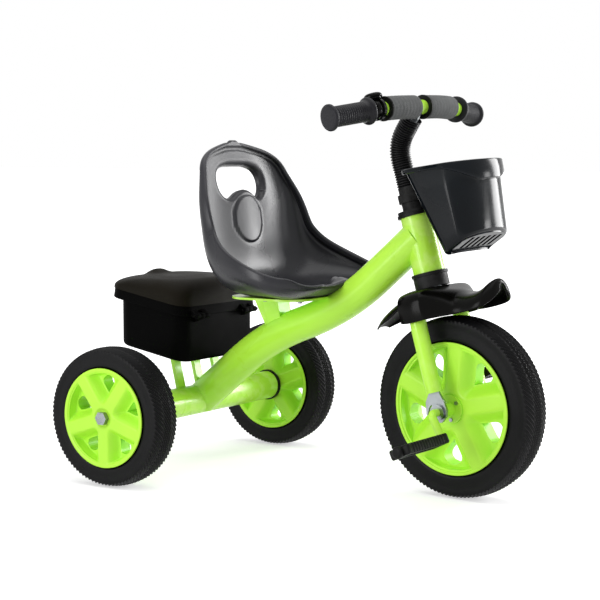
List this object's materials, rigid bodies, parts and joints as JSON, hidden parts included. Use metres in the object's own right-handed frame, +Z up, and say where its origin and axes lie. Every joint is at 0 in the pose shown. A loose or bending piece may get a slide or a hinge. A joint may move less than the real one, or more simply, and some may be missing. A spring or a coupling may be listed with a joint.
{
  "type": "children's pedal tricycle",
  "caption": "Child's pedal tricycle with a bent single-tube frame, bucket seat, lidded rear box, front basket, handlebar with a bell, and pedals on the front wheel.",
  "frame": {"origin": "on the floor under the middle of the tricycle's length and width, at rest", "axes": "+X forward from the rear wheels to the front wheel, +Y to the rider's left, +Z up; the handlebar and front wheel rest turned 6.33 degrees to the right"},
  "size_m": [0.6701, 0.4668, 0.5501],
  "materials": {
    "lime_paint": "gloss powder coat",
    "lime_plastic": "smooth moulded",
    "black_plastic": "fine moulded grain",
    "black_gloss": "smooth moulded",
    "seat_grey": "satin moulded",
    "basket_blue_black": "smooth moulded",
    "tyre_foam": "dull ribbed",
    "foam_grey": "matt foam",
    "grip_rubber": "matt",
    "zinc": "bright zinc plate",
    "nylon": "smooth"
  },
  "bodies": {
    "frame": {"main_tube": "lime_paint", "head_tube": "lime_paint", "rear_axle_tube": "lime_paint", "headset_lower_bush": "black_plastic", "headset_upper_bush": "black_plastic", "rear_axle": "zinc", "axle_tube_plugs": "black_plastic", "axle_washers": "zinc", "axle_nuts": "zinc", "seat_plate": "lime_paint", "seat_stay": "lime_paint", "seat_shell": "seat_grey", "seat_bolts": "zinc", "seat_nuts": "zinc", "box_body": "black_plastic", "lid_hinge_pins": "zinc", "box_rack": "lime_paint", "box_bolts": "zinc", "box_nuts": "zinc"},
    "wheel_right": {"rear_rim_right": "lime_plastic", "rear_tyre_right": "tyre_foam"},
    "wheel_left": {"rear_rim_left": "lime_plastic", "rear_tyre_left": "tyre_foam"},
    "lid": {"box_lid": "black_plastic"},
    "steering": {"fork_blades": "lime_paint", "steerer": "zinc", "crown_spacer": "nylon", "headset_cap": "nylon", "fork_ends": "zinc", "crank_bushes": "zinc", "fender": "black_plastic", "fender_bolts": "zinc", "stem_socket": "nylon", "stem_tube": "zinc", "stem_sleeve": "black_gloss", "handlebar": "lime_paint", "foam_sleeve_right": "foam_grey", "foam_sleeve_left": "foam_grey", "bar_bands": "nylon", "grip_right": "grip_rubber", "grip_left": "grip_rubber", "bell_base": "black_gloss", "bell_dome": "black_gloss", "bell_lever_pin": "zinc", "basket": "basket_blue_black", "basket_bracket": "nylon", "basket_screws": "zinc"},
    "bell_lever": {"bell_lever": "black_gloss"},
    "front_wheel": {"front_rim": "lime_plastic", "front_tyre": "tyre_foam", "crank": "lime_paint", "hub_plates": "lime_plastic", "hub_screws": "zinc", "pedal_caps": "black_plastic"},
    "pedal_right": {"pedal_right": "black_plastic"},
    "pedal_left": {"pedal_left": "black_plastic"}
  },
  "joints": [
    {"name": "steer", "type": "hinge", "parent": "frame", "child": "steering", "pos_m": [0.20925, 0, 0.125], "axis": [-0.2689, 0, 0.9632], "range_deg": [-38.67, 51.33]},
    {"name": "front_wheel_spin", "type": "hinge", "parent": "steering", "child": "front_wheel", "pos_m": [0.20925, 0, 0.125], "axis": [0.1062, 0.9939, 0.0297], "continuous": true},
    {"name": "pedal_right_spin", "type": "hinge", "parent": "front_wheel", "child": "pedal_right", "pos_m": [0.21496, -0.12277, 0.08831], "axis": [0.1062, 0.9939, 0.0297], "continuous": true},
    {"name": "pedal_left_spin", "type": "hinge", "parent": "front_wheel", "child": "pedal_left", "pos_m": [0.20354, 0.12277, 0.16169], "axis": [0.1062, 0.9939, 0.0297], "continuous": true},
    {"name": "rear_wheel_right_spin", "type": "hinge", "parent": "frame", "child": "wheel_right", "pos_m": [-0.23525, -0.2041, 0.099], "axis": [0, 1, 0], "continuous": true},
    {"name": "rear_wheel_left_spin", "type": "hinge", "parent": "frame", "child": "wheel_left", "pos_m": [-0.23525, 0.2041, 0.099], "axis": [0, 1, 0], "continuous": true},
    {"name": "lid_hinge", "type": "hinge", "parent": "frame", "child": "lid", "pos_m": [-0.18825, 0, 0.232], "axis": [0, 1, 0], "range_deg": [0, 70]},
    {"name": "bell_lever_press", "type": "hinge", "parent": "steering", "child": "bell_lever", "pos_m": [0.11619, -0.09587, 0.53549], "axis": [0.2689, 0, -0.9632], "range_deg": [0, 14], "stiffness_Nm_per_rad": 0.02, "springref_deg": -5.73}
  ]
}
